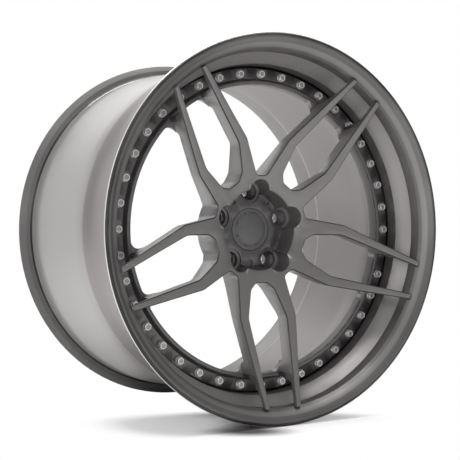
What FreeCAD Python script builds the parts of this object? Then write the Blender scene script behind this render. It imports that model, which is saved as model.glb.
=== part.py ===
"""Two-piece forged car wheel: a one-piece rim and a bolted centre with five pairs of arms.

The wheel spins about Y. Its outboard face looks along -Y, +Z is up, the origin is the middle
of its width on the axle line, and all lengths are millimetres.
"""
import FreeCAD, Part
import math
import os

# Rim
bead_seat_diameter = 512.8
rim_width = 317.5
flange_height = 18.0
flange_thickness = 11.8
flange_edge_chamfer = 2.6
flange_back_chamfer = 8.2
flange_root_chamfer = 4.0
bead_seat_width = 18.0
bead_seat_taper = 1.4
hump_width = 8.0
hump_height = 1.6
rim_wall = 5.0
well_radius = 242.5
well_front = -106.0
well_rear = -52.0
well_ramp = 20.0
barrel_radius = 250.0
barrel_flare = 3.0
barrel_rear = 93.0
rear_edge_radius = 265.5
rear_edge_setback = 1.5
rear_step_wall = 2.5
rear_step_start = 110.0
rear_step_height = 3.0
rear_step_length = 6.0
lip_crest_radius = 267.0
lip_mouth_depth = 16.0
lip_throat_radius = 251.6
lip_throat_length = 17.5
lip_step_radius = 238.1
lip_step_length = 20.9
lip_wall_draft = 1.9
bolt_flange_face = -89.0
bolt_flange_thickness = 12.0
bolt_flange_inner_radius = 214.5

# Bolts round the rim
bolt_count = 40
bolt_circle_radius = 225.7
bolt_diameter = 7.0
bolt_hole_clearance = 0.3
bolt_head_flats = 10.0
bolt_head_height = 6.0
bolt_collar_diameter = 13.0
bolt_collar_height = 1.6
bolt_end_length = 1.5

# Bolt ring of the centre disc
ring_gap = 2.2
ring_ledge_thickness = 9.0
ring_thickness = 16.0
ring_inner_radius = 209.6
ring_curb_radius = 214.8
ring_ledge_inner_radius = 218.4
gusset_radius = 194.0
gusset_round = 11.0

# Arms, given on their outboard face
pair_count = 5
pair_angle = 54.0
face_slope = 0.33
elbow_radius = 133.0
elbow_height = -121.4
tip_radius = 253.0
tip_thickness = 6.5
tip_rake = 4.0
window_overrun = 21.4
window_lead = 9.55
arm_draft = 4.0
arm_chamfer = 1.5
arm_depth = 28.0
arm_thin_radius = 190.0
fork_end = 78.0
fork_end_half_width = 9.0
fork_shoulder = 87.0
fork_shoulder_half_width = 19.5
fork_elbow = 127.0
fork_elbow_half_width = 32.0
fork_tip_half_width = 21.1
fork_end_round = 8.0
fork_shoulder_round = 12.0
elbow_round = 26.0
vee_end = 79.0
vee_end_half_width = 8.0
vee_end_round = 7.0
vee_elbow = 130.0
vee_elbow_half_width = 35.5
arm_tip_offset = 29.8
web_foot_inset = 1.0
web_foot_depth = 4.0
overhang_radius = 219.5
overhang_thickness = 8.5

# Hub
mount_face = -38.0
mount_pad_radius = 70.0
mount_pad_chamfer = 3.0
hub_back_radius = 95.0
hub_back_height = -66.0
hub_neck_radius = 78.0
hub_neck_height = -52.0
hub_bore_diameter = 66.6
hub_bore_depth = 15.0
barb_chamber_diameter = 61.0
barb_chamber_depth = 5.0
pad_face = -70.6
pad_radius = 54.0
recess_radius = 60.0
lug_count = 5
lug_circle_diameter = 112.0
lug_hole_diameter = 14.8
lug_seat_diameter = 25.0
lug_seat_height = -55.0
lug_seat_cone_depth = 6.0
lug_pocket_diameter = 34.0
lug_pocket_floor = -68.0
index_hole_diameter = 8.4
index_hole_depth = 2.5
index_hole_radius = 49.5

# Centre cap
cap_diameter = 61.4
cap_clearance = 0.3
cap_flange_thickness = 3.0
cap_bore_diameter = 56.6
cap_facet_count = 8
cap_facet_flats = 52.0
cap_facet_height = 1.2
cap_facet_chamfer = 2.4
cap_facet_edge = 0.1
cap_notch_width = 2.4
cap_notch_length = 4.8
cap_inlay_diameter = 46.0
cap_inlay_depth = 1.0
cap_inlay_setback = 0.2
cap_leg_count = 6
cap_leg_wall = 2.0
cap_leg_length = 13.5
cap_leg_root = 2.0
cap_leg_slot = 9.0
cap_barb_height = 1.2
cap_barb_length = 2.5
cap_ring_width = 2.4
cap_ring_thickness = 1.0

# Tyre valve
valve_angle = 110.0
valve_height = -64.0
valve_stem_diameter = 8.0
valve_hole_clearance = 0.3
valve_foot_diameter = 17.0
valve_foot_thickness = 3.0
valve_seal_thickness = 2.2
valve_seat_diameter = 20.0
valve_seat_depth = 0.3
valve_washer_diameter = 15.0
valve_washer_thickness = 1.2
valve_nut_flats = 12.0
valve_nut_height = 4.0
valve_length = 34.0
valve_neck_diameter = 6.4
valve_neck_length = 9.0
valve_bore_diameter = 4.0
valve_core_diameter = 3.4
valve_core_length = 18.0
valve_cap_diameter = 9.0
valve_cap_length = 11.0
valve_cap_wall = 1.0

flange_radius = bead_seat_diameter / 2 + flange_height
half_width = rim_width / 2 + flange_thickness
rear_step_radius = barrel_radius + barrel_flare - rear_step_wall
ledge_face = bolt_flange_face - ring_ledge_thickness
curb_face = bolt_flange_face - ring_thickness
pair_step = 360.0 / pair_count
window_end = tip_radius + window_overrun
origin = FreeCAD.Vector(0, 0, 0)
axle = FreeCAD.Vector(0, 1, 0)


def face_height(radius):
    """Y of the arms' coned face at a radius."""
    return elbow_height - face_slope * (radius - elbow_radius)


def turned(section):
    """Solid of revolution about the axle from a closed section of radius and Y."""
    points = [FreeCAD.Vector(radius, height, 0) for radius, height in section]
    outline = Part.makePolygon(points + points[:1])
    return Part.Face(outline).revolve(origin, axle, 360)


def around(shape, angle):
    """Copy of a shape turned from +X towards +Z by an angle in degrees."""
    copy = shape.copy()
    copy.rotate(origin, axle, -angle)
    return copy


def ring_of(shape, count, first=0.0):
    """Copies of a shape spread evenly round the axle."""
    return [around(shape, first + 360.0 * k / count) for k in range(count)]


def rod(radius, low, high, x=0.0):
    """Cylinder along Y between two heights, its axis at a distance from the axle."""
    return Part.makeCylinder(radius, high - low, FreeCAD.Vector(x, low, 0), axle)


def prism(flats, sides, low, high, x=0.0, turn=0.0):
    """Regular prism along Y with a size across its flats."""
    corner = flats / 2 / math.cos(math.pi / sides)
    angles = [2 * math.pi * (k + turn) / sides for k in range(sides)]
    corners = [FreeCAD.Vector(x + corner * math.cos(a), low, corner * math.sin(a)) for a in angles]
    outline = Part.makePolygon(corners + corners[:1])
    return Part.Face(outline).extrude(FreeCAD.Vector(0, high - low, 0))


def drafted_corners(corners, level):
    """Window corners at a level: each wall closes in by the draft below the arms' face."""
    slope = math.tan(math.radians(arm_draft))
    shifts = [slope * (level - face_height(math.hypot(u, v))) for u, v in corners]
    lines = []
    count = len(corners)
    for k in range(count):
        (u1, v1), (u2, v2) = corners[k], corners[(k + 1) % count]
        length = math.hypot(u2 - u1, v2 - v1)
        nu, nv = (v1 - v2) / length, (u2 - u1) / length
        first, last = shifts[k], shifts[(k + 1) % count]
        lines.append((u1 + nu * first, v1 + nv * first, u2 + nu * last, v2 + nv * last))
    moved = []
    for k in range(count):
        a, b, c, d = lines[k - 1]
        e, f, g, h = lines[k]
        cross = (c - a) * (h - f) - (d - b) * (g - e)
        share = ((e - a) * (h - f) - (f - b) * (g - e)) / cross
        moved.append((a + share * (c - a), b + share * (d - b)))
    return moved, shifts


def window_outline(corners, rounds, level):
    """Wire of a window at a level, with rounded corners that shrink with the draft."""
    moved, shifts = drafted_corners(corners, level)
    points = [FreeCAD.Vector(u, level, v) for u, v in moved]
    edges = []
    ends = []
    count = len(points)
    for k in range(count):
        before, corner, after = points[k - 1], points[k], points[(k + 1) % count]
        if rounds[k] == 0:
            ends.append((corner, None, corner))
            continue
        back = (before - corner).normalize()
        forth = (after - corner).normalize()
        half = back.getAngle(forth) / 2
        inward = back.cross(forth).y > 0
        radius = rounds[k] - shifts[k] if inward else rounds[k] + shifts[k]
        reach = radius / math.tan(half)
        centre = corner + (back + forth).normalize() * (radius / math.sin(half))
        middle = centre + (corner - centre).normalize() * radius
        ends.append((corner + back * reach, middle, corner + forth * reach))
    for k in range(count):
        first, middle, last = ends[k]
        if middle is not None:
            edges.append(Part.Arc(first, middle, last).toShape())
        edges.append(Part.makeLine(last, ends[(k + 1) % count][0]))
    return Part.Wire(edges)


def window(corners, rounds):
    """Drafted cutter for one opening between arms, clear of the disc at both ends."""
    levels = (face_height(tip_radius) - window_lead, mount_face)
    wires = [window_outline(corners, rounds, level) for level in levels]
    return Part.makeLoft(wires, True, True)


def mirrored(corners, rounds):
    """Outline symmetric about the U axis, from the corners on its positive side."""
    lower = [(u, -v) for u, v in reversed(corners)]
    return corners + lower, rounds + rounds[::-1]


def fork_window():
    """Opening between the two arms of a pair."""
    slant = (fork_tip_half_width - fork_elbow_half_width) / (tip_radius - fork_elbow)
    corners = [(fork_end, fork_end_half_width), (fork_shoulder, fork_shoulder_half_width),
               (fork_elbow, fork_elbow_half_width),
               (window_end, fork_elbow_half_width + slant * (window_end - fork_elbow))]
    rounds = [fork_end_round, fork_shoulder_round, elbow_round, 0]
    return window(*mirrored(corners, rounds))


def vee_window():
    """Opening between two neighbouring pairs of arms."""
    half_step = math.radians(pair_step / 2)
    turn = half_step - math.atan2(arm_tip_offset, tip_radius)
    reach = math.hypot(arm_tip_offset, tip_radius)
    tip_u, tip_v = reach * math.cos(turn), reach * math.sin(turn)
    slant = (tip_v - vee_elbow_half_width) / (tip_u - vee_elbow)
    beyond = tip_u * window_end / tip_radius
    far_v = tip_v + slant * (beyond - tip_u)
    corners = [(vee_end, vee_end_half_width), (vee_elbow, vee_elbow_half_width),
               (beyond, far_v), (window_end, far_v)]
    rounds = [vee_end_round, elbow_round, 0, 0]
    return window(*mirrored(corners, rounds))


def closed_at_ring(cutter):
    """The part of a window inside the bolt ring, with rounded corners against the ring."""
    core = cutter.common(rod(ring_inner_radius, -half_width, mount_face))

    def against_ring(edge):
        first, last = edge.Vertexes[0].Point, edge.Vertexes[-1].Point
        radii = [math.hypot(p.x, p.z) for p in (first, last)]
        return abs(first.y - last.y) > ring_thickness and min(radii) > gusset_radius

    corners = [edge for edge in core.Edges if against_ring(edge)]
    return core.makeFillet(gusset_round, corners)


def chamber_start():
    """Y of the ledge that the cap's barbs snap behind."""
    return mount_face - hub_bore_depth - barb_chamber_depth


def arm_blank():
    """Turned blank of the hub and arms, before the openings are cut."""
    bore = hub_bore_diameter / 2
    cap_bore = cap_bore_diameter / 2
    cap_seat = cap_diameter / 2 + cap_clearance
    chamber = barb_chamber_diameter / 2
    bore_end = mount_face - hub_bore_depth
    cap_floor = pad_face + cap_flange_thickness
    tip = face_height(tip_radius)
    thin_back = face_height(arm_thin_radius) + arm_depth
    elbow_back = elbow_height + arm_depth
    return turned([
        (bore, mount_face),
        (mount_pad_radius, mount_face),
        (mount_pad_radius + mount_pad_chamfer, mount_face - mount_pad_chamfer),
        (hub_neck_radius, hub_neck_height),
        (hub_back_radius, hub_back_height),
        (elbow_radius, elbow_back),
        (arm_thin_radius, thin_back),
        (ring_inner_radius + web_foot_inset, bolt_flange_face - web_foot_depth),
        (ring_curb_radius - web_foot_inset, curb_face + web_foot_inset),
        (overhang_radius, face_height(overhang_radius) + overhang_thickness),
        (tip_radius - tip_rake, tip + tip_thickness),
        (tip_radius, tip),
        (recess_radius, face_height(recess_radius)),
        (pad_radius, pad_face),
        (cap_seat, pad_face),
        (cap_seat, cap_floor),
        (cap_bore, cap_floor),
        (cap_bore, chamber_start()),
        (chamber, chamber_start()),
        (chamber, bore_end),
        (bore, bore_end)])


def bolt_ring():
    """Ring that the arms end on, with its bolt ledge and the webs under the arms."""
    outer = lip_wall_radius(bolt_flange_face) - ring_gap
    ring = turned([
        (outer, bolt_flange_face), (outer, ledge_face), (ring_ledge_inner_radius, ledge_face),
        (ring_curb_radius, curb_face), (ring_inner_radius, curb_face),
        (ring_inner_radius, bolt_flange_face)])
    webs = turned([
        (ring_curb_radius, bolt_flange_face), (ring_inner_radius, bolt_flange_face),
        (gusset_radius, curb_face), (ring_curb_radius, curb_face)])
    return ring, webs


def lip_wall_radius(height):
    """Radius of the lip's inner wall beside the bolt ring."""
    depth = bolt_flange_face - height
    length = bolt_flange_face - lip_step_end()
    return lip_step_radius - lip_wall_draft * (1 - depth / length)


def lip_step_end():
    """Y of the inboard edge of the lip's sloped step."""
    return lip_throat_end() + lip_step_length


def lip_throat_end():
    """Y of the inboard end of the lip's throat."""
    return -half_width + lip_mouth_depth + lip_throat_length


def chamfered_arms(disc):
    """The arms with the edges of their coned face broken."""
    apex = elbow_height + face_slope * elbow_radius

    def on_face(edge):
        ends = [vertex.Point for vertex in edge.Vertexes]
        heights = [apex - face_slope * math.hypot(p.x, p.z) - p.y for p in ends]
        radii = [math.hypot(p.x, p.z) for p in ends]
        return max(abs(h) for h in heights) < 0.01 and min(radii) > mount_pad_radius

    edges = [edge for edge in disc.Edges if on_face(edge)]
    return disc.makeChamfer(arm_chamfer, edges)


def lug_pocket():
    """Cutter for one wheel bolt: wrench pocket, conical seat and hole."""
    x = lug_circle_diameter / 2
    seat = lug_seat_diameter / 2
    hole = lug_hole_diameter / 2
    cone = Part.makeCone(seat, hole, lug_seat_cone_depth,
                         FreeCAD.Vector(x, lug_seat_height, 0), axle)
    return rod(lug_pocket_diameter / 2, -half_width, lug_pocket_floor, x).fuse([
        rod(seat, lug_pocket_floor, lug_seat_height, x), cone,
        rod(hole, lug_seat_height, 0, x)])


def bolt_holes():
    """Cutters for the bolts that join the centre to the rim."""
    radius = bolt_diameter / 2 + bolt_hole_clearance
    return ring_of(rod(radius, curb_face, mount_face, bolt_circle_radius), bolt_count)


def centre_disc():
    """Forged centre: hub, five pairs of arms and the bolt ring."""
    forks = ring_of(fork_window(), pair_count, pair_angle)
    vees = ring_of(vee_window(), pair_count, pair_angle + pair_step / 2)
    arms = chamfered_arms(arm_blank().cut(forks + vees))
    ring, webs = bolt_ring()
    closed = [ring_of(closed_at_ring(fork_window()), pair_count, pair_angle),
              ring_of(closed_at_ring(vee_window()), pair_count, pair_angle + pair_step / 2)]
    webs = webs.cut(closed[0] + closed[1])
    disc = arms.fuse([ring, webs])
    index_hole = rod(index_hole_diameter / 2, -half_width, pad_face + index_hole_depth,
                     index_hole_radius)
    cuts = ring_of(lug_pocket(), lug_count, pair_angle + pair_step / 2)
    cuts += ring_of(index_hole, pair_count, pair_angle)
    return disc.cut(cuts + bolt_holes()).removeSplitter()


def valve_place(shape):
    """Move a piece built along +X from the rim's well to the valve's place, pointing inwards."""
    copy = shape.copy()
    copy.translate(FreeCAD.Vector(-well_radius + valve_seat_depth, valve_height, 0))
    return around(copy, valve_angle - 180)


def pin(radius, start, end):
    """Cylinder along +X on the valve's own axis."""
    return Part.makeCylinder(radius, end - start, FreeCAD.Vector(start, 0, 0), FreeCAD.Vector(1, 0, 0))


def rim():
    """One-piece rim: lip, bolt flange, well, barrel, bead seats and rear flange."""
    seat = bead_seat_diameter / 2
    face = rim_width / 2
    root = flange_root_chamfer
    seat_end = face - root - bead_seat_width
    hump = seat_end - hump_width / 2
    low_seat = seat - bead_seat_taper
    inner_well = well_radius - rim_wall
    ramp_end = well_rear + well_ramp
    flange_back = bolt_flange_face + bolt_flange_thickness
    throat = lip_throat_end()
    barrel_end = barrel_radius + barrel_flare
    edge = half_width - flange_edge_chamfer
    shoulder = flange_radius - flange_back_chamfer
    crest = flange_radius - flange_edge_chamfer
    half_turn = [(seat + root, face), (shoulder, face),
                 (flange_radius, face + flange_back_chamfer), (flange_radius, edge),
                 (crest, half_width)]
    tyre_seat = [(low_seat + hump_height, hump), (low_seat, seat_end), (seat, face - root)]
    front = [(r, -y) for r, y in reversed(tyre_seat + half_turn)]
    steps = front + [
        (well_radius, well_front), (well_radius, well_rear), (barrel_radius, ramp_end),
        (barrel_end, barrel_rear)] + tyre_seat + half_turn + [
        (rear_edge_radius, half_width - rear_edge_setback),
        (lip_throat_radius, half_width - lip_mouth_depth), (rear_step_radius, rear_step_start),
        (rear_step_radius - rear_step_height, rear_step_start - rear_step_length),
        (barrel_radius - rim_wall, ramp_end), (inner_well, well_rear), (inner_well, flange_back),
        (bolt_flange_inner_radius, flange_back), (bolt_flange_inner_radius, bolt_flange_face),
        (lip_wall_radius(bolt_flange_face), bolt_flange_face),
        (lip_step_radius, lip_step_end()), (lip_throat_radius, throat),
        (lip_throat_radius, throat - lip_throat_length), (lip_crest_radius, -half_width)]
    shell = turned(steps)
    valve_hole = pin(valve_stem_diameter / 2 + valve_hole_clearance, -rim_wall, 2 * rim_wall)
    outer_seat = pin(valve_seat_diameter / 2, -rim_wall, 0)
    inner_seat = pin(valve_seat_diameter / 2, rim_wall - 2 * valve_seat_depth, 3 * rim_wall)
    valve_cuts = [valve_place(cut) for cut in (valve_hole, outer_seat, inner_seat)]
    return shell.cut(bolt_holes() + valve_cuts)


def assembly_bolt():
    """One flanged hexagon bolt, standing on the ring's ledge."""
    grip = ring_ledge_thickness + bolt_flange_thickness + bolt_end_length
    collar = ledge_face - bolt_collar_height
    head = prism(bolt_head_flats, 6, ledge_face - bolt_head_height, collar, bolt_circle_radius)
    return head.fuse([
        rod(bolt_collar_diameter / 2, collar, ledge_face, bolt_circle_radius),
        rod(bolt_diameter / 2, ledge_face, ledge_face + grip, bolt_circle_radius)]).removeSplitter()


def centre_cap():
    """Moulded cap: round flange, notched facets and snap legs."""
    back = pad_face + cap_flange_thickness
    top = pad_face - cap_facet_height
    facets = prism(cap_facet_flats, cap_facet_count, top, pad_face, 0, 0.5)
    rim_edges = [e for e in facets.Edges if all(abs(v.Y - top) < 0.01 for v in e.Vertexes)]
    facets = facets.makeChamfer(cap_facet_height - cap_facet_edge, cap_facet_chamfer, rim_edges)
    body = rod(cap_diameter / 2, pad_face, back).fuse(facets)
    corner = cap_facet_flats / 2 / math.cos(math.pi / cap_facet_count)
    notch = Part.makeBox(cap_notch_length, cap_facet_height, cap_notch_width,
                         FreeCAD.Vector(corner - cap_notch_length, top, -cap_notch_width / 2))
    leg_radius = cap_bore_diameter / 2 - cap_clearance
    leg_end = back + cap_leg_length
    barb_start = chamber_start() + cap_clearance
    legs = turned([
        (leg_radius - cap_leg_wall, back), (leg_radius, back), (leg_radius, barb_start),
        (leg_radius + cap_barb_height, barb_start), (leg_radius, barb_start + cap_barb_length),
        (leg_radius, leg_end), (leg_radius - cap_leg_wall, leg_end)])
    slot = Part.makeBox(cap_diameter / 2, cap_leg_length, cap_leg_slot,
                        FreeCAD.Vector(0, back + cap_leg_root, -cap_leg_slot / 2))
    legs = legs.cut(ring_of(slot, cap_leg_count))
    inlay_seat = rod(cap_inlay_diameter / 2 + cap_clearance, top, top + cap_inlay_depth)
    notches = ring_of(notch, cap_facet_count, 180.0 / cap_facet_count)
    return body.fuse(legs).cut(notches + [inlay_seat]).removeSplitter()


def cap_inlay():
    """Bare round plate in the cap's face."""
    top = pad_face - cap_facet_height
    return rod(cap_inlay_diameter / 2, top + cap_inlay_setback, top + cap_inlay_depth)


def cap_spring_ring():
    """Flat spring ring inside the cap's legs."""
    outer = cap_bore_diameter / 2 - cap_clearance - cap_leg_wall
    high = pad_face + cap_flange_thickness + cap_leg_length
    low = high - cap_ring_width
    return rod(outer, low, high).cut(rod(outer - cap_ring_thickness, low, high))


def valve_pieces():
    """Clamp-in valve through the rim's well, pointing at the axle."""
    stem_radius = valve_stem_diameter / 2
    nut_start = rim_wall - 2 * valve_seat_depth
    washer = pin(valve_washer_diameter / 2, nut_start, nut_start + valve_washer_thickness)
    nut_low = nut_start + valve_washer_thickness
    nut = prism(valve_nut_flats, 6, nut_low, nut_low + valve_nut_height)
    nut.rotate(origin, FreeCAD.Vector(0, 0, 1), -90)
    bore = pin(stem_radius + valve_hole_clearance, -valve_length, valve_length)
    neck_start = valve_length - valve_neck_length
    foot_start = -valve_seal_thickness - valve_foot_thickness
    stem = pin(valve_foot_diameter / 2, foot_start, -valve_seal_thickness).fuse([
        pin(stem_radius, -valve_seal_thickness, neck_start),
        pin(valve_neck_diameter / 2, neck_start, valve_length)])
    stem = stem.cut(pin(valve_bore_diameter / 2, foot_start, valve_length))
    core = pin(valve_core_diameter / 2, valve_length - valve_core_length, valve_length)
    seal = pin(valve_foot_diameter / 2, -valve_seal_thickness, 0).cut(bore)
    cap_bore = valve_neck_diameter / 2 + valve_hole_clearance
    cap_end = neck_start + valve_cap_length
    cap = pin(valve_cap_diameter / 2, neck_start, cap_end).cut(
        pin(cap_bore, neck_start, cap_end - valve_cap_wall))
    pieces = {"valve_stem": stem, "valve_core": core, "valve_seal": seal,
              "valve_washer": washer.cut(bore), "valve_nut": nut.cut(bore), "valve_cap": cap}
    return {name: valve_place(shape) for name, shape in pieces.items()}


pieces = {
    "rim": rim(),
    "centre_disc": centre_disc(),
    "assembly_bolts": Part.makeCompound(ring_of(assembly_bolt(), bolt_count)),
    "centre_cap": centre_cap(),
    "cap_inlay": cap_inlay(),
    "cap_spring_ring": cap_spring_ring(),
}
pieces.update(valve_pieces())

os.makedirs("parts", exist_ok=True)
for name, shape in pieces.items():
    shape.exportStep(os.path.join("parts", name + ".step"))
    print(name, shape.isValid(), len(shape.Solids), round(shape.Volume))
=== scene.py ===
"""Looks of a two-piece forged car wheel with a deep lip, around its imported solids."""
import logging
import math
from dataclasses import dataclass, field
from enum import Enum
from typing import Any, Mapping, Optional, Sequence, Union

import bmesh
import bpy
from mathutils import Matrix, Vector


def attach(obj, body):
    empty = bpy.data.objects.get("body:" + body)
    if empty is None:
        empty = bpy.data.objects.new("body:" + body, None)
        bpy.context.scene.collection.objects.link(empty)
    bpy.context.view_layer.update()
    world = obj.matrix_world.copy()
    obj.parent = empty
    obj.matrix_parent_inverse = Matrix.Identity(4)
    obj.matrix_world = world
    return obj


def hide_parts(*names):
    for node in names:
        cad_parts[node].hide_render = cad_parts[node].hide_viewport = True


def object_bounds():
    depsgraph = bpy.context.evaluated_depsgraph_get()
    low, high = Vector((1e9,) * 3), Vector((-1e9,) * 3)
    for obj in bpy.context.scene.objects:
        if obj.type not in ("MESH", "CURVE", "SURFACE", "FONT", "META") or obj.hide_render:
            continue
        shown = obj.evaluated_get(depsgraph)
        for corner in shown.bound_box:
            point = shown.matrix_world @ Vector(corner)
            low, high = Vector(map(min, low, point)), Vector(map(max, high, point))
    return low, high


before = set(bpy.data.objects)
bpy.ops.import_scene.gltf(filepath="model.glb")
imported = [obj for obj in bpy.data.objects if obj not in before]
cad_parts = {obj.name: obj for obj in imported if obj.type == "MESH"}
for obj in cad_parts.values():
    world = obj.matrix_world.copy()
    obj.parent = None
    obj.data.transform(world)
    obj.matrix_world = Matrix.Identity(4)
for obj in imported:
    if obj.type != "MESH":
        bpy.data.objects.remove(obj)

Colour = tuple[float, float, float]
Place = tuple[float, float, float]
Number = Union[float, "Wire"]
Span = tuple[float, float]
# Low end, high end, and how far the edge outside them fades.
Band = tuple[float, float, float]
# Strength and distance of a bump.
Relief = tuple[float, float]

CAD_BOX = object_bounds()
ROOT = "root"
OCCLUSION_SAMPLES = 12
SHARP_ANGLE = math.radians(32)
BEVEL_ANGLE = math.radians(24)
BEVEL_SEGMENTS = 2
WELD_DISTANCE = 1e-6
# Places of the colour sockets on a Mix node: factor, both colours, result.
MIX_FACTOR, MIX_FIRST, MIX_SECOND, MIX_RESULT = 0, 6, 7, 2
log = logging.getLogger("wheel")


class Detail(Enum):
    """How many finer layers a noise has."""

    PLAIN = 1.0
    FINE = 2.0
    GRAIN = 3.0
    CLOUD = 4.0


class Wire:
    """A node socket that Python's operators work on."""

    def __init__(self, graph: "Graph", socket: bpy.types.NodeSocket) -> None:
        """Keep the socket and the graph that new nodes go to."""
        self.graph = graph
        self.socket = socket

    def _math(self, operation: str, first: Number, second: Number = 0.0) -> "Wire":
        """Add one Math node.

        Args:
            operation: Blender's name for the operation.
            first: value or wire of the first socket.
            second: value or wire of the second socket.

        Returns:
            The node's result.
        """
        return self.graph.node("ShaderNodeMath", {"operation": operation}, {0: first, 1: second})

    def __add__(self, other: Number) -> "Wire":
        """Sum."""
        return self._math("ADD", self, other)

    __radd__ = __add__

    def __sub__(self, other: Number) -> "Wire":
        """Difference."""
        return self._math("SUBTRACT", self, other)

    def __rsub__(self, other: Number) -> "Wire":
        """Difference from a number."""
        return self._math("SUBTRACT", other, self)

    def __mul__(self, other: Number) -> "Wire":
        """Product."""
        return self._math("MULTIPLY", self, other)

    __rmul__ = __mul__

    def __truediv__(self, other: Number) -> "Wire":
        """Quotient."""
        return self._math("DIVIDE", self, other)

    def __rtruediv__(self, other: Number) -> "Wire":
        """Quotient of a number."""
        return self._math("DIVIDE", other, self)

    def __pow__(self, other: Number) -> "Wire":
        """Power."""
        return self._math("POWER", self, other)

    def most(self, other: Number) -> "Wire":
        """The larger of two values."""
        return self._math("MAXIMUM", self, other)

    def rise(self, start: float, end: float) -> "Wire":
        """Smooth step from 0 at start to 1 at end."""
        return self.graph.node(
            "ShaderNodeMapRange", {"interpolation_type": "SMOOTHSTEP", "clamp": True},
            {"Value": self, "From Min": start, "From Max": end})

    def band(self, low: float, high: float, soft: float) -> "Wire":
        """1 between two values, falling to 0 over a soft edge outside them."""
        return self.rise(low - soft, low) * (1 - self.rise(high, high + soft))


class Graph:
    """A material and the nodes that it is made of."""

    def __init__(self, name: str) -> None:
        """Start an empty material.

        Args:
            name: name of the material.
        """
        self.material = bpy.data.materials.new(name)
        self.material.use_nodes = True
        self.tree = self.material.node_tree
        self.tree.nodes.clear()

    def node(self, kind: str, settings: Optional[Mapping[str, Any]] = None,
             sockets: Optional[Mapping[Union[str, int], Any]] = None,
             output: Union[str, int] = 0) -> Wire:
        """Add any node.

        Args:
            kind: Blender's type name.
            settings: properties, which are set first.
            sockets: values or wires by socket name or place.
            output: which output to return.

        Returns:
            The chosen output.
        """
        made = self.tree.nodes.new(kind)
        for key, value in (settings or {}).items():
            setattr(made, key, value)
        for key, value in (sockets or {}).items():
            if isinstance(value, Wire):
                self.tree.links.new(value.socket, made.inputs[key])
            else:
                made.inputs[key].default_value = value
        return Wire(self, made.outputs[output])

    def mix(self, factor: Number, first: Union[Colour, Wire],
            second: Union[Colour, Wire]) -> Wire:
        """Blend two colours.

        Args:
            factor: share of the second colour.
            first: colour at 0.
            second: colour at 1.

        Returns:
            The blended colour.
        """
        ends = [c if isinstance(c, Wire) else (*c, 1.0) for c in (first, second)]
        return self.node("ShaderNodeMix", {"data_type": "RGBA"},
                         {MIX_FACTOR: factor, MIX_FIRST: ends[0], MIX_SECOND: ends[1]},
                         MIX_RESULT)

    def place(self) -> tuple[Wire, Wire, Wire]:
        """Where a point of the surface is.

        Returns:
            Object coordinates along X, Y and Z, in metres.
        """
        coordinates = self.node("ShaderNodeTexCoord", output="Object")
        parts = self.node("ShaderNodeSeparateXYZ", sockets={0: coordinates})
        outputs = parts.socket.node.outputs
        return Wire(self, outputs[0]), Wire(self, outputs[1]), Wire(self, outputs[2])

    def radius(self) -> Wire:
        """Distance from the axle, in metres."""
        x, _, z = self.place()
        return (x * x + z * z) ** 0.5

    def along(self, x: Number, y: Number, z: Number) -> Wire:
        """How far the surface's normal runs along a direction.

        Args:
            x: the direction along X.
            y: the direction along Y.
            z: the direction along Z.

        Returns:
            The dot product of the two.
        """
        normal = self.node("ShaderNodeNewGeometry", output="Normal")
        direction = self.node("ShaderNodeCombineXYZ", None, {0: x, 1: y, 2: z})
        return self.node("ShaderNodeVectorMath", {"operation": "DOT_PRODUCT"},
                         {0: normal, 1: direction}, "Value")

    def noise(self, scale: float, detail: Detail, vector: Optional[Wire] = None) -> Wire:
        """Add a noise.

        Args:
            scale: cells per unit of the vector.
            detail: how many finer layers it has.
            vector: where it is read, object coordinates if left out.

        Returns:
            The noise's value.
        """
        if vector is None:
            vector = self.node("ShaderNodeTexCoord", output="Object")
        return self.node("ShaderNodeTexNoise", None,
                         {"Vector": vector, "Scale": scale, "Detail": detail.value}, "Fac")

    def bump(self, height: Wire, strength: float, distance: float) -> Wire:
        """Normal bent by a height."""
        return self.node("ShaderNodeBump", None,
                         {"Strength": strength, "Distance": distance, "Height": height}, "Normal")

    def crevice(self, reach: float) -> Wire:
        """How far a point is hidden by what lies close around it.

        Args:
            reach: how far away things count, in metres.

        Returns:
            0 in the open, 1 deep in a corner.
        """
        settings = {"samples": OCCLUSION_SAMPLES, "only_local": False}
        return 1 - self.node("ShaderNodeAmbientOcclusion", settings, {"Distance": reach}, "AO")

    def blend(self, factor: Wire, first: Wire, second: Wire) -> Wire:
        """Blend two shaders.

        Args:
            factor: share of the second shader.
            first: shader at 0.
            second: shader at 1.

        Returns:
            The blended shader.
        """
        return self.node("ShaderNodeMixShader", None, {0: factor, 1: first, 2: second}, "Shader")

    def finish(self, sockets: Mapping[str, Any]) -> bpy.types.Material:
        """Close the material with a Principled shader.

        Args:
            sockets: values or wires for the shader.

        Returns:
            The finished material.
        """
        shader = self.node("ShaderNodeBsdfPrincipled", None, sockets, "BSDF")
        self.node_output(shader)
        return self.material

    def node_output(self, shader: Wire) -> None:
        """Join a shader to the material's output."""
        target = self.tree.nodes.new("ShaderNodeOutputMaterial")
        self.tree.links.new(shader.socket, target.inputs["Surface"])


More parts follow.
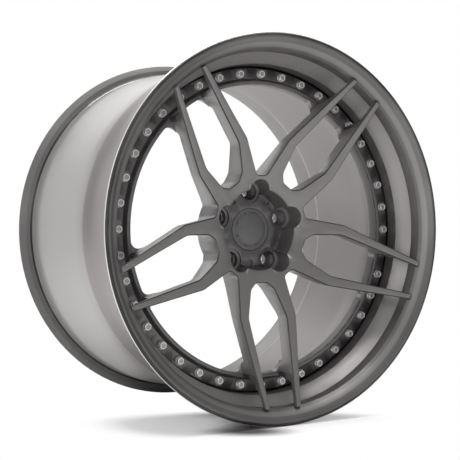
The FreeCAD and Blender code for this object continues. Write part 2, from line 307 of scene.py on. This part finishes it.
@dataclass(frozen=True)
class SatinPaint:
    """Satin metallic paint of the forged centre, with fine peel and dust, painted shade on
    chamfers and in creases, and painted highlights on walls, edges and tips.
    """

    name: str = "gunmetal_satin_paint"
    colour: Colour = (0.198, 0.188, 0.187)
    dusty: Colour = (0.23, 0.219, 0.217)
    # Upright walls are lighter than the face: a painted highlight.
    wall_highlight: Colour = (0.27, 0.257, 0.255)
    hub: Colour = (0.108, 0.103, 0.102)
    # The edge colour is painted shade, laid on chamfers, in creases and in the cap's gap.
    edge: Colour = (0.03, 0.03, 0.03)
    # glint is a painted highlight.
    glint: Colour = (0.5, 0.48, 0.475)
    ring: Colour = (0.145, 0.138, 0.137)
    # The ring's upright walls take painted shade.
    ring_wall_shade: Colour = (0.09, 0.086, 0.085)
    face_slope: float = 0.33
    roughness: float = 0.31
    hub_gloss: float = 0.14
    metallic: float = 0.55
    coat: float = 0.12
    coat_roughness: float = 0.3
    cloud_scale: float = 9.0
    cloud_fade: Span = (0.35, 0.7)
    cloud_share: float = 0.5
    cloud_roughness: float = 0.08
    flake_scale: float = 5200.0
    flake_share: float = 0.25
    flake_roughness: float = 0.04
    flake_height: float = 0.4
    peel_scale: float = 900.0
    relief: Relief = (0.06, 0.0004)
    hub_fade: Span = (0.052, 0.066)
    # cap_gap is a ring of painted shadow where the cap meets the disc.
    cap_gap: Band = (0.0304, 0.0318, 0.0003)
    walls: Band = (0.08, 0.208, 0.001)
    ring_start: Span = (0.2085, 0.2095)
    ring_depth: Span = (-0.06, -0.05)
    tip_start: Span = (0.2515, 0.2525)
    edge_start: Span = (0.072, 0.078)
    edge_lean: Band = (0.5, 0.86, 0.06)
    line_lean: Band = (0.9, 0.965, 0.015)
    line_depth: Band = (-0.079, -0.076, 0.0005)
    wall_lean: Span = (0.3, 0.5)
    crevice_reach: float = 0.006
    crevice_fade: Span = (0.25, 0.9)
    painted_shade_share: float = 0.85
    line_share: float = 0.7

    def material(self) -> bpy.types.Material:
        """Make the paint.

        Returns:
            The material.
        """
        graph = Graph(self.name)
        radius, facing, cone = graph.radius(), self.facing(graph), self.cone(graph)
        cloud = graph.noise(self.cloud_scale, Detail.CLOUD)
        flake = graph.noise(self.flake_scale, Detail.PLAIN)
        peel = graph.noise(self.peel_scale, Detail.FINE)
        upright = 1 - facing.rise(*self.wall_lean)
        hub = 1 - radius.rise(*self.hub_fade)
        ring = radius.rise(*self.ring_start) * cone.rise(*self.ring_depth)
        dust = cloud.rise(*self.cloud_fade) * self.cloud_share + flake * self.flake_share
        colour = graph.mix(dust, self.colour, self.dusty)
        # Painted highlight: upright walls between the hub and the ring are lighter than the arms'
        # face.
        colour = graph.mix(upright * radius.band(*self.walls), colour, self.wall_highlight)
        # The ring beyond the arms is darker, and its upright walls darker still as painted shade.
        colour = graph.mix(ring, colour, graph.mix(upright, self.ring, self.ring_wall_shade))
        colour = graph.mix(hub, colour, self.hub)
        # Painted highlight: thin lines on the arms' edge roundings and the tips' end faces are
        # lightened towards glint.
        lines = facing.band(*self.line_lean) * cone.band(*self.line_depth)
        tips = upright * radius.rise(*self.tip_start)
        colour = graph.mix((lines * self.line_share).most(tips), colour, self.glint)
        # Painted shade: chamfers, and creases found by occlusion, are darkened towards the edge
        # colour.
        edges = facing.band(*self.edge_lean) * radius.rise(*self.edge_start)
        hidden = graph.crevice(self.crevice_reach).rise(*self.crevice_fade)
        dark = (edges * self.painted_shade_share).most(hidden * self.painted_shade_share)
        # A painted shadow line in the cap's gap.
        dark = dark.most(radius.band(*self.cap_gap))
        colour = graph.mix(dark, colour, self.edge)
        roughness = self.roughness + cloud * self.cloud_roughness
        roughness = roughness + flake * self.flake_roughness - hub * self.hub_gloss
        return graph.finish({
            "Base Color": colour, "Metallic": self.metallic, "Roughness": roughness,
            "Coat Weight": self.coat, "Coat Roughness": self.coat_roughness,
            "Normal": graph.bump(peel + flake * self.flake_height, *self.relief)})

    def cone(self, graph: Graph) -> Wire:
        """Where the cone through a point, as steep as the arms' face, meets the axle.

        Args:
            graph: the material's graph.

        Returns:
            Y of that place, the same all over the arms' face.
        """
        return graph.place()[1] + graph.radius() * self.face_slope

    def facing(self, graph: Graph) -> Wire:
        """How squarely the surface looks along the arms' coned face.

        Args:
            graph: the material's graph.

        Returns:
            1 on the face, near 0 on the arms' walls.
        """
        x, _, z = graph.place()
        lean = self.face_slope / graph.radius()
        return graph.along(x * lean, 1.0, z * lean) / -math.hypot(1.0, self.face_slope)


@dataclass(frozen=True)
class RimFinish:
    """Rim: painted lip and flanges, lighter bare barrel, all with fine turning lines, and painted
    highlights and painted shadow lines.
    """

    name: str = "rim_turned_finish"
    lip: Colour = (0.158, 0.15, 0.149)
    mouth: Colour = (0.132, 0.126, 0.125)
    # Painted highlight and painted shade that make the lip's front read as a rounded roll.
    roll_highlight: Colour = (0.225, 0.214, 0.212)
    brow_shade: Colour = (0.13, 0.124, 0.123)
    slope: Colour = (0.37, 0.354, 0.35)
    rear: Colour = (0.21, 0.2, 0.198)
    barrel: Colour = (0.4, 0.388, 0.382)
    well: Colour = (0.3, 0.278, 0.276)
    inside: Colour = (0.285, 0.263, 0.262)
    # step is a painted highlight along the barrel's inner step.
    step: Colour = (0.5, 0.475, 0.47)
    # A painted highlight along the lip's outer edge.
    crest_highlight: Colour = (0.75, 0.74, 0.74)
    flange: Colour = (0.125, 0.119, 0.118)
    shadow_line: Colour = (0.012, 0.012, 0.012)
    clouding: Colour = (0.5, 0.49, 0.48)
    roughness: float = 0.3
    flange_roughness: float = 0.4
    metallic: float = 0.6
    cloud_scale: float = 7.0
    cloud_fade: Span = (0.4, 0.75)
    cloud_share: float = 0.12
    cloud_roughness: float = 0.08
    line_scale: float = 2600.0
    line_roughness: float = 0.05
    relief: Relief = (0.08, 0.0002)
    outer_lean: Span = (-0.01, 0.01)
    mouth_end: Span = (-0.1545, -0.1535)
    roll_radii: Band = (0.2562, 0.2598, 0.0025)
    brow_start: Span = (0.2605, 0.265)
    outline_span: Band = (-0.1706, -0.169, 0.0003)
    crest_span: Band = (-0.1684, -0.1668, 0.0004)
    slope_span: Band = (-0.137, -0.1163, 0.0008)
    tyre_span: Band = (-0.1545, 0.1545, 0.0005)
    groove_span: Band = (-0.0985, -0.0885, 0.0005)
    groove_radii: Band = (0.2338, 0.239, 0.0004)
    hollow_start: Span = (-0.08, -0.078)
    well_end: Span = (-0.034, -0.031)
    rear_start: Span = (0.0, 0.01)
    step_span: Band = (0.1035, 0.1105, 0.0005)
    corner_span: Band = (0.156, 0.158, 0.0005)
    flange_start: Span = (0.1575, 0.1585)
    crevice_reach: float = 0.006
    crevice_fade: Span = (0.3, 0.95)
    shade_share: float = 0.8

    def material(self) -> bpy.types.Material:
        """Make the finish.

        Returns:
            The material.
        """
        graph = Graph(self.name)
        x, y, z = graph.place()
        radius = graph.radius()
        outer = graph.along(x, 0.0, z).rise(*self.outer_lean)
        tyre_side = outer * y.band(*self.tyre_span)
        flange = y.rise(*self.flange_start)
        colour = self.inner_colour(graph, y, radius, outer, flange)
        barrel = graph.mix(y.rise(*self.well_end), self.well, self.barrel)
        colour = graph.mix(tyre_side, colour, barrel)
        # Painted highlight: a bright band along the lip's outer edge.
        colour = graph.mix(outer * y.band(*self.crest_span), colour, self.crest_highlight)
        corner = outer * y.band(*self.corner_span)
        groove = y.band(*self.groove_span) * radius.band(*self.groove_radii)
        hidden = graph.crevice(self.crevice_reach).rise(*self.crevice_fade) * (1 - tyre_side)
        outline = outer * y.band(*self.outline_span)
        dark = corner.most(groove).most(hidden.most(outline) * self.shade_share)
        colour = graph.mix(dark, colour, self.shadow_line)
        cloud = graph.noise(self.cloud_scale, Detail.CLOUD)
        turning = self.turning_lines(graph, y, radius)
        haze = cloud.rise(*self.cloud_fade) * self.cloud_share
        colour = graph.mix(haze, colour, self.clouding)
        roughness = self.roughness + cloud * self.cloud_roughness
        roughness = roughness + flange * self.flange_roughness + turning * self.line_roughness
        return graph.finish({
            "Base Color": colour, "Metallic": self.metallic * (1 - flange),
            "Roughness": roughness, "Normal": graph.bump(turning, *self.relief)})

    def inner_colour(self, graph: Graph, y: Wire, radius: Wire, outer: Wire,
                     flange: Wire) -> Wire:
        """Colour of the lip, the rear flange and the barrel's inside.

        Args:
            graph: the material's graph.
            y: distance along the axle.
            radius: distance from the axle.
            outer: 1 where the surface looks away from the axle.
            flange: 1 on the rear flange.

        Returns:
            The colour.
        """
        front = 1 - y.rise(*self.mouth_end)
        hollow = (1 - outer) * y.rise(*self.hollow_start)
        slope = (1 - outer) * y.band(*self.slope_span)
        colour = graph.mix(y.rise(*self.rear_start), self.lip, self.rear)
        colour = graph.mix(flange, colour, self.flange)
        colour = graph.mix(front, colour, self.mouth)
        # Painted highlight in a band on the lip's front, and painted shade towards its outer
        # edge.
        colour = graph.mix(front * radius.band(*self.roll_radii), colour, self.roll_highlight)
        colour = graph.mix(front * radius.rise(*self.brow_start), colour, self.brow_shade)
        colour = graph.mix(slope, colour, self.slope)
        colour = graph.mix(hollow, colour, self.inside)
        # Painted highlight: a lighter band on the barrel's inner step.
        return graph.mix(hollow * y.band(*self.step_span), colour, self.step)

    def turning_lines(self, graph: Graph, y: Wire, radius: Wire) -> Wire:
        """Fine rings left by the lathe, uneven along the section.

        Args:
            graph: the material's graph.
            y: distance along the axle.
            radius: distance from the axle.

        Returns:
            Height of the lines.
        """
        run = graph.node("ShaderNodeCombineXYZ", None,
                         {0: y * self.line_scale, 1: radius * self.line_scale, 2: 0.0})
        return graph.noise(1.0, Detail.PLAIN, run)


@dataclass(frozen=True)
class PlatedSteel:
    """Plated steel with a fine grain; shaded holds spans of Y and how dark each is."""

    name: str
    colour: Colour = (0.78, 0.78, 0.78)
    dull: Colour = (0.6, 0.6, 0.6)
    roughness: float = 0.22
    metallic: float = 1.0
    shaded: tuple[tuple[float, float, float], ...] = ()
    shaded_edge: float = 0.00005
    shade: Colour = (0.02, 0.02, 0.02)
    grain_scale: float = 1400.0
    grain_gloss: float = 0.04
    grain_roughness: float = 0.12
    patch_scale: float = 120.0
    patch_fade: Span = (0.4, 0.7)
    patch_share: float = 0.5
    relief: Relief = (0.05, 0.0002)
    crevice_reach: float = 0.0025
    crevice_fade: Span = (0.3, 0.8)
    crevice_share: float = 0.9

    def material(self) -> bpy.types.Material:
        """Make the plating.

        Returns:
            The material.
        """
        graph = Graph(self.name)
        grain = graph.noise(self.grain_scale, Detail.GRAIN)
        patch = graph.noise(self.patch_scale, Detail.GRAIN)
        dulled = patch.rise(*self.patch_fade) * self.patch_share
        colour = graph.mix(dulled, self.colour, self.dull)
        if self.shaded:
            y = graph.place()[1]
            hidden = graph.crevice(self.crevice_reach).rise(*self.crevice_fade)
            shade = hidden * self.crevice_share
            for low, high, share in self.shaded:
                shade = shade.most(y.band(low, high, self.shaded_edge) * share)
            colour = graph.mix(shade, colour, self.shade)
        return graph.finish({
            "Base Color": colour, "Metallic": self.metallic,
            "Roughness": self.roughness - self.grain_gloss + grain * self.grain_roughness,
            "Normal": graph.bump(grain, *self.relief)})


@dataclass(frozen=True)
class Moulding:
    """Moulded plastic or rubber with a fine spark-eroded texture."""

    name: str
    colour: Colour = (0.1, 0.099, 0.1)
    worn: Colour = (0.13, 0.128, 0.128)
    roughness: float = 0.38
    texture_scale: float = 2400.0
    texture_roughness: float = 0.08
    patch_scale: float = 60.0
    patch_fade: Span = (0.35, 0.75)
    patch_share: float = 0.6
    relief: Relief = (0.1, 0.0002)
    shade: Colour = (0.006, 0.006, 0.006)
    crevice_reach: float = 0.003
    crevice_fade: Span = (0.2, 0.8)
    crevice_share: float = 0.9

    def material(self) -> bpy.types.Material:
        """Make the moulding.

        Returns:
            The material.
        """
        graph = Graph(self.name)
        texture = graph.noise(self.texture_scale, Detail.FINE)
        patch = graph.noise(self.patch_scale, Detail.GRAIN)
        wear = patch.rise(*self.patch_fade) * self.patch_share
        colour = graph.mix(wear, self.colour, self.worn)
        hidden = graph.crevice(self.crevice_reach).rise(*self.crevice_fade)
        colour = graph.mix(hidden * self.crevice_share, colour, self.shade)
        return graph.finish({
            "Base Color": colour,
            "Roughness": self.roughness + texture * self.texture_roughness,
            "Normal": graph.bump(texture, *self.relief)})


class Edge(Enum):
    """How far a solid's sharp edges are broken, in metres."""

    FORGED = 0.0009
    TURNED = 0.0016
    MOULDED = 0.00025
    SMALL = 0.00015


def dress(node: str, material: bpy.types.Material, edge: Edge) -> bpy.types.Object:
    """Give a solid one material, and break its sharp edges with modifiers.

    Args:
        node: name of the solid.
        material: what covers it.
        edge: how far the edges are broken.

    Returns:
        The solid, its own mesh left as it is.
    """
    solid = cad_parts[node]
    solid.data.materials.clear()
    solid.data.materials.append(material)
    solid.data.polygons.foreach_set("use_smooth", [True] * len(solid.data.polygons))
    weld = solid.modifiers.new("weld", "WELD")
    weld.merge_threshold = WELD_DISTANCE
    bevel = solid.modifiers.new("edges", "BEVEL")
    bevel.width = edge.value
    bevel.segments = BEVEL_SEGMENTS
    bevel.limit_method = "ANGLE"
    bevel.angle_limit = BEVEL_ANGLE
    bevel.harden_normals = True
    bevel.use_clamp_overlap = True
    return solid


def ring_mesh(name: str, rings: Sequence[Sequence[Vector]]) -> bpy.types.Mesh:
    """Skin a stack of equal rings and close both ends.

    Args:
        name: name of the mesh.
        rings: points of each ring, in order.

    Returns:
        The closed mesh.
    """
    shape = bmesh.new()
    rows = [[shape.verts.new(point) for point in ring] for ring in rings]
    count = len(rows[0])
    for low, high in zip(rows, rows[1:]):
        for k in range(count):
            shape.faces.new((low[k], low[(k + 1) % count], high[(k + 1) % count], high[k]))
    shape.faces.new(rows[0][::-1])
    shape.faces.new(rows[-1])
    bmesh.ops.recalc_face_normals(shape, faces=shape.faces)
    mesh = bpy.data.meshes.new(name)
    shape.to_mesh(mesh)
    shape.free()
    mesh.polygons.foreach_set("use_smooth", [True] * len(mesh.polygons))
    mesh.set_sharp_from_angle(angle=SHARP_ANGLE)
    return mesh


@dataclass
class AssemblyBolts:
    """Forty flanged bolts that hold the centre to the rim."""

    count: int = 40
    circle: float = 0.2257
    ledge: float = -0.098
    flats: float = 0.010
    height: float = 0.006
    collar: float = 0.0065
    collar_height: float = 0.0016
    shank: float = 0.0035
    reach: float = 0.0225
    pitch: float = 0.001
    threaded: float = 0.45
    thread_root: float = 0.86
    thread_lead: float = 0.0004
    point: float = 0.8
    collar_edge: float = 0.7
    collar_top: float = 0.93
    head_chamfer: float = 0.0007
    recess_depth: float = 0.0008
    top_radii: tuple[float, float, float, float] = (0.46, 0.36, 0.31, 0.12)
    corners: int = 36
    finish: PlatedSteel = field(default_factory=lambda: PlatedSteel(
        "bolt_plating", colour=(0.92, 0.91, 0.9), dull=(0.78, 0.77, 0.76), roughness=0.34,
        metallic=0.8, shaded=((-0.1033, -0.1031, 0.6), (-0.1039, -0.1034, 0.35),
                              (-0.0997, -0.0979, 0.45))))

    def hexagon(self, angle: float) -> float:
        """Radius of the head's hexagon at an angle."""
        sixth = math.pi / 3
        return self.flats / 2 / math.cos((angle + sixth / 2) % sixth - sixth / 2)

    def profile(self) -> list[tuple[float, float, float]]:
        """Rings of one bolt from its threaded end to its top.

        Returns:
            Height over the ledge, round radius, and the share of the hexagon in the ring.
        """
        rings = [(-self.reach, self.shank * self.point, 0.0)]
        turns = int(self.reach * self.threaded / self.pitch)
        for k in range(turns):
            base = -self.reach + self.thread_lead + k * self.pitch
            rings.append((base, self.shank * self.thread_root, 0.0))
            rings.append((base + self.pitch / 2, self.shank, 0.0))
        top = self.height
        floor = top - self.recess_depth
        rim, lip, foot, middle = (self.flats * share for share in self.top_radii)
        rings += [(0.0, self.shank, 0.0), (0.0, self.collar, 0.0),
                  (self.collar_height * self.collar_edge, self.collar, 0.0),
                  (self.collar_height, self.collar * self.collar_top, 0.0),
                  (self.collar_height, self.flats / 2, 1.0),
                  (top - self.head_chamfer, self.flats / 2, 1.0),
                  (top, rim, 0.0), (top, lip, 0.0), (floor, foot, 0.0), (floor, middle, 0.0)]
        return rings

    def one(self) -> bpy.types.Mesh:
        """Mesh of one bolt, the seat of its head at the origin.

        Returns:
            The mesh, its head towards -Y and its shank along +Y.
        """
        rings = []
        for height, radius, hexed in self.profile():
            ring = []
            for k in range(self.corners):
                angle = 2 * math.pi * k / self.corners
                reach = radius + hexed * (self.hexagon(angle) - radius)
                ring.append(Vector((reach * math.cos(angle), -height, reach * math.sin(angle))))
            rings.append(ring)
        return ring_mesh("bolt", rings)

    def build(self) -> list[bpy.types.Object]:
        """Join all the bolts into one piece in the solid's place.

        Returns:
            That piece alone.
        """
        single = self.one()
        shape = bmesh.new()
        for k in range(self.count):
            angle = 2 * math.pi * k / self.count
            start = len(shape.verts)
            shape.from_mesh(single)
            shape.verts.ensure_lookup_table()
            shift = Vector((self.circle * math.cos(angle), self.ledge,
                            self.circle * math.sin(angle)))
            for vertex in shape.verts[start:]:
                vertex.co += shift
        mesh = bpy.data.meshes.new("assembly_bolts_detailed")
        shape.to_mesh(mesh)
        shape.free()
        mesh.set_sharp_from_angle(angle=SHARP_ANGLE)
        piece = bpy.data.objects.new("assembly_bolts_detailed", mesh)
        bpy.context.scene.collection.objects.link(piece)
        mesh.materials.append(self.finish.material())
        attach(piece, ROOT)
        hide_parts("assembly_bolts")
        return [piece]


@dataclass
class Centre:
    """The forged centre and its cap."""

    paint: SatinPaint = field(default_factory=SatinPaint)
    cap: Moulding = field(default_factory=lambda: Moulding("cap_moulding"))
    inlay: PlatedSteel = field(default_factory=lambda: PlatedSteel(
        "cap_inlay_plate", colour=(0.13, 0.128, 0.128), dull=(0.155, 0.152, 0.152),
        roughness=0.42, metallic=0.5))
    spring: PlatedSteel = field(default_factory=lambda: PlatedSteel(
        "spring_steel", colour=(0.5, 0.5, 0.5), dull=(0.4, 0.4, 0.4), roughness=0.3))

    def build(self) -> list[bpy.types.Object]:
        """Give the centre's solids their finishes and broken edges.

        Returns:
            The solids.
        """
        return [dress("centre_disc", self.paint.material(), Edge.FORGED),
                dress("centre_cap", self.cap.material(), Edge.MOULDED),
                dress("cap_inlay", self.inlay.material(), Edge.MOULDED),
                dress("cap_spring_ring", self.spring.material(), Edge.SMALL)]


@dataclass
class Rim:
    """The one-piece rim."""

    finish: RimFinish = field(default_factory=RimFinish)

    def build(self) -> list[bpy.types.Object]:
        """Give the rim its finish and rounded edges."""
        return [dress("rim", self.finish.material(), Edge.TURNED)]


@dataclass
class Valve:
    """The tyre valve's pieces."""

    metal: PlatedSteel = field(default_factory=lambda: PlatedSteel(
        "valve_anodised", colour=(0.55, 0.55, 0.56), dull=(0.47, 0.47, 0.48), roughness=0.32))
    brass: PlatedSteel = field(default_factory=lambda: PlatedSteel(
        "valve_brass", colour=(0.6, 0.45, 0.2), dull=(0.45, 0.33, 0.15), roughness=0.3))
    rubber: Moulding = field(default_factory=lambda: Moulding(
        "valve_rubber", colour=(0.025, 0.025, 0.025), worn=(0.04, 0.04, 0.04),
        roughness=0.62, texture_scale=900.0))
    plastic: Moulding = field(default_factory=lambda: Moulding(
        "valve_cap_plastic", colour=(0.03, 0.03, 0.03), worn=(0.045, 0.045, 0.045),
        roughness=0.45, texture_scale=1600.0))

    def build(self) -> list[bpy.types.Object]:
        """Give the valve's solids their finishes and broken edges.

        Returns:
            The solids.
        """
        metal = self.metal.material()
        finishes = {
            "valve_stem": metal, "valve_washer": metal, "valve_nut": metal,
            "valve_core": self.brass.material(), "valve_seal": self.rubber.material(),
            "valve_cap": self.plastic.material()}
        return [dress(node, finish, Edge.SMALL) for node, finish in finishes.items()]


@dataclass(frozen=True)
class Softbox:
    """A large soft lamp aimed at the wheel."""

    name: str
    place: Place
    size: float
    power: float

    def build(self) -> bpy.types.Object:
        """Hang the lamp.

        Returns:
            The lamp.
        """
        lamp = bpy.data.lights.new(self.name, "AREA")
        lamp.energy = self.power
        lamp.size = self.size
        item = bpy.data.objects.new(self.name, lamp)
        item.location = self.place
        item.rotation_euler = (-Vector(self.place)).to_track_quat("-Z", "Y").to_euler()
        bpy.context.scene.collection.objects.link(item)
        return item


@dataclass
class Studio:
    """Pale floor, white surroundings, soft lamps and the camera."""

    floor_height: float = CAD_BOX[0][2]
    floor_size: float = 12.0
    glow: float = 0.3
    surroundings: float = 0.5
    pale: Colour = (0.86, 0.86, 0.86)
    # dark is the colour of the floor's painted shadow.
    dark: Colour = (0.03, 0.03, 0.03)
    pool: Span = (0.05, -0.135)
    pool_reach: Span = (0.25, 0.105)
    pool_fade: Span = (0.7, 1.1)
    # The core oval is painted shadow in front of the lip.
    core: Span = (0.03, -0.182)
    core_reach: Span = (0.085, 0.045)
    core_fade: Span = (0.15, 1.0)
    core_share: float = 0.9
    contact_reach: float = 0.05
    contact_fade: Span = (0.3, 0.8)
    contact_end: Span = (0.03, 0.13)
    azimuth: float = -30.0614
    elevation: float = -0.0945
    distance: float = 1.5165
    focal_pixels: float = 983.21
    image_pixels: float = 460.0
    shift_pixels: Span = (3.648, -0.592)
    sensor: float = 36.0
    clip_start: float = 0.01
    lamps: tuple[Softbox, ...] = (
        Softbox("key_left", (-2.4, -1.0, 1.0), 1.6, 8.0),
        Softbox("top", (0.0, 0.1, 2.6), 1.8, 78.0),
        Softbox("back", (0.0, 2.4, 1.6), 1.6, 9.0),
        Softbox("back_left", (-1.4, 2.4, 0.5), 1.6, 4.5),
        Softbox("front_low", (-0.75, -1.25, -0.2), 0.6, 2.2),
        Softbox("fill", (-1.6, -2.4, 0.4), 1.6, 3.0))

    @staticmethod
    def seen(graph_tree: bpy.types.NodeTree) -> bpy.types.NodeSocket:
        """Socket that is 1 for what the camera sees, 0 for light that falls on the wheel.

        Args:
            graph_tree: tree to add the nodes to.

        Returns:
            The socket.
        """
        path = graph_tree.nodes.new("ShaderNodeLightPath")
        return path.outputs["Is Camera Ray"]

    @staticmethod
    def oval(across: Wire, away: Wire, centre: Span, reach: Span) -> Wire:
        """Distance from an oval's centre on the floor, as a share of its reach.

        Args:
            across: place across the view.
            away: place along the view.
            centre: the oval's centre, across and along the view.
            reach: half its length and half its depth.

        Returns:
            0 at the centre, 1 on the oval's edge.
        """
        aside = (across - centre[0]) / reach[0]
        behind = (away - centre[1]) / reach[1]
        return (aside * aside + behind * behind) ** 0.5

    def floor_material(self) -> bpy.types.Material:
        """Make a floor that is white outside a pool where lamps cast soft shadow, with painted
        shadow added at the wheel's contact and in an oval core.

        Returns:
            The material.
        """
        graph = Graph("studio_floor")
        x, y, _ = graph.place()
        turn = math.radians(self.azimuth)
        across = x * math.cos(turn) + y * math.sin(turn)
        away = y * math.cos(turn) - x * math.sin(turn)
        # Painted shadow: dark near the wheel's contact and in an oval core in front of the lip.
        contact = graph.crevice(self.contact_reach).rise(*self.contact_fade)
        core = 1 - self.oval(across, away, self.core, self.core_reach).rise(*self.core_fade)
        shade = (contact * (1 - across.rise(*self.contact_end))).most(core * self.core_share)
        shown = Wire(graph, self.seen(graph.tree))
        far = self.oval(across, away, self.pool, self.pool_reach).rise(*self.pool_fade) * shown
        pale = graph.node("ShaderNodeBsdfDiffuse", None, {"Color": (*self.pale, 1.0)}, "BSDF")
        dark = graph.node("ShaderNodeBsdfDiffuse", None, {"Color": (*self.dark, 1.0)}, "BSDF")
        glow = graph.node("ShaderNodeEmission", None, {"Strength": self.glow}, "Emission")
        white = graph.node("ShaderNodeEmission", None, {"Strength": 1.0}, "Emission")
        glowing = graph.node("ShaderNodeAddShader", None, {0: pale, 1: glow}, "Shader")
        near = graph.blend(shade, graph.blend(shown, pale, glowing), dark)
        graph.node_output(graph.blend(far, near, white))
        return graph.material

    def floor(self) -> bpy.types.Object:
        """Lay the floor.

        Returns:
            The floor.
        """
        half = self.floor_size / 2
        mesh = bpy.data.meshes.new("floor")
        corners = [(-half, -half, 0), (half, -half, 0), (half, half, 0), (-half, half, 0)]
        mesh.from_pydata(corners, [], [(0, 1, 2, 3)])
        item = bpy.data.objects.new("floor", mesh)
        item.location.z = self.floor_height
        bpy.context.scene.collection.objects.link(item)
        mesh.materials.append(self.floor_material())
        return item

    def world(self) -> None:
        """White surroundings that light the wheel at a plain level."""
        world = bpy.data.worlds.new("surroundings")
        world.use_nodes = True
        bpy.context.scene.world = world
        tree = world.node_tree
        back = tree.nodes["Background"]
        back.inputs["Color"].default_value = (1, 1, 1, 1)
        level = tree.nodes.new("ShaderNodeMapRange")
        level.inputs["To Min"].default_value = self.surroundings
        level.inputs["To Max"].default_value = 1.0
        tree.links.new(self.seen(tree), level.inputs["Value"])
        tree.links.new(level.outputs["Result"], back.inputs["Strength"])

    def camera(self) -> bpy.types.Object:
        """Set the camera at the photograph's viewing angle.

        Returns:
            The camera.
        """
        turn, lift = math.radians(self.azimuth), math.radians(self.elevation)
        back = Vector((math.sin(turn) * math.cos(lift), -math.cos(turn) * math.cos(lift),
                       math.sin(lift)))
        lens = bpy.data.cameras.new("camera")
        lens.sensor_width = self.sensor
        lens.lens = self.focal_pixels / self.image_pixels * self.sensor
        lens.shift_x = self.shift_pixels[0] / self.image_pixels
        lens.shift_y = self.shift_pixels[1] / self.image_pixels
        lens.clip_start = self.clip_start
        item = bpy.data.objects.new("camera", lens)
        item.location = back * self.distance
        item.rotation_euler = back.to_track_quat("Z", "Y").to_euler()
        bpy.context.scene.collection.objects.link(item)
        bpy.context.scene.camera = item
        return item

    def build(self) -> None:
        """Set up the whole studio."""
        self.world()
        self.floor()
        for lamp in self.lamps:
            lamp.build()
        self.camera()
        bpy.context.scene.view_settings.view_transform = "Standard"


def main() -> None:
    """Light the wheel, dress it and log each piece with its material."""
    logging.basicConfig(level=logging.INFO, format="%(name)s: %(message)s")
    Studio().build()
    for assembly in (Rim(), Centre(), AssemblyBolts(), Valve()):
        for piece in assembly.build():
            log.info("%s in %s", piece.name, piece.data.materials[0].name)


if __name__ == "__main__":
    main()
